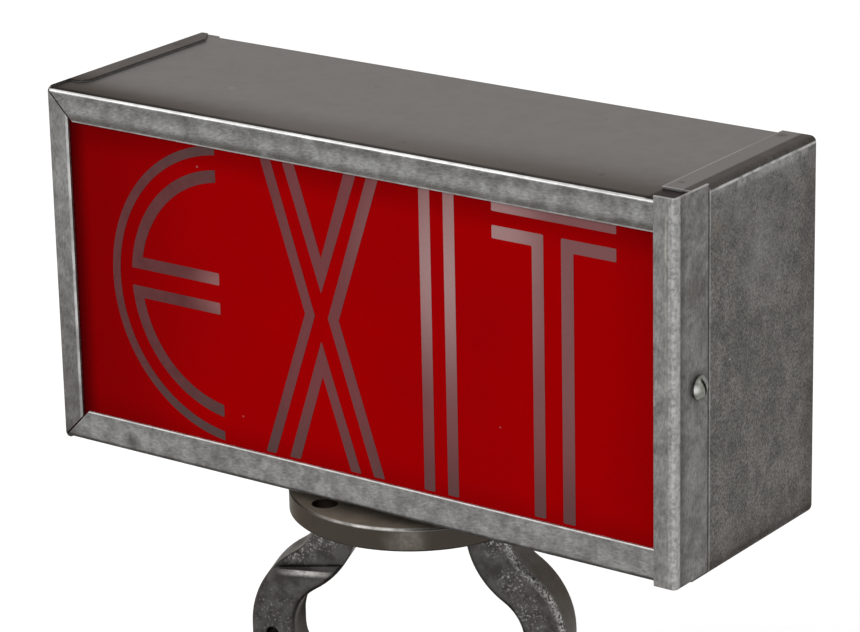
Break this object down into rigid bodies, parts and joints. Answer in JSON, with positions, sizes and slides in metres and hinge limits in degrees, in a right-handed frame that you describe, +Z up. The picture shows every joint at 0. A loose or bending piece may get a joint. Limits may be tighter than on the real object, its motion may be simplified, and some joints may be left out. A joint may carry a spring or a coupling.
{
  "type": "emergency exit light",
  "caption": "Box-shaped exit light with a red glass front, folded steel housing and inner lamps, on a round-footed cast yoke.",
  "frame": {"origin": "on the axis of the stem and yoke, at the underside of the round foot", "axes": "+X along the sign to the reader's right, +Y from the glass to the back, +Z up"},
  "size_m": [0.3096, 0.1087, 0.294],
  "materials": {
    "housing_steel": "bare steel, satin, worn and mottled",
    "plated_steel": "dull zinc plate",
    "inner_steel": "plain sheet",
    "ruby_glass": "deep red flashed glass, glossy",
    "cast_iron": "dark casting with machined flange",
    "porcelain": "glazed white",
    "lamp_brass": "dull",
    "frosted_lamp": "frosted",
    "bush_fibre": "matte",
    "live_insulation": "matte",
    "neutral_insulation": "matte"
  },
  "bodies": {
    "root": {"exit_glass": "ruby_glass", "glass_retainer": "housing_steel", "housing_shell": "housing_steel", "inner_locknut": "plated_steel", "lamp_bracket": "inner_steel", "lampholder_screws": "plated_steel", "left_bulb": "frosted_lamp", "left_contact": "lamp_brass", "left_end_cap": "housing_steel", "left_lampholder": "porcelain", "left_screw_shell": "lamp_brass", "live_lead": "live_insulation", "live_link": "live_insulation", "lower_glass_guide": "inner_steel", "lower_locknut": "plated_steel", "lower_washer": "plated_steel", "neutral_lead": "neutral_insulation", "neutral_link": "neutral_insulation", "retainer_nut": "plated_steel", "retainer_screw": "plated_steel", "right_bulb": "frosted_lamp", "right_contact": "lamp_brass", "right_end_cap": "housing_steel", "right_lampholder": "porcelain", "right_screw_shell": "lamp_brass", "stem_bushing": "bush_fibre", "stem_nipple": "plated_steel", "stem_spacer": "plated_steel", "terminal_screws": "lamp_brass", "upper_glass_guide": "inner_steel", "yoke_stand": "cast_iron"}
  },
  "joints": []
}
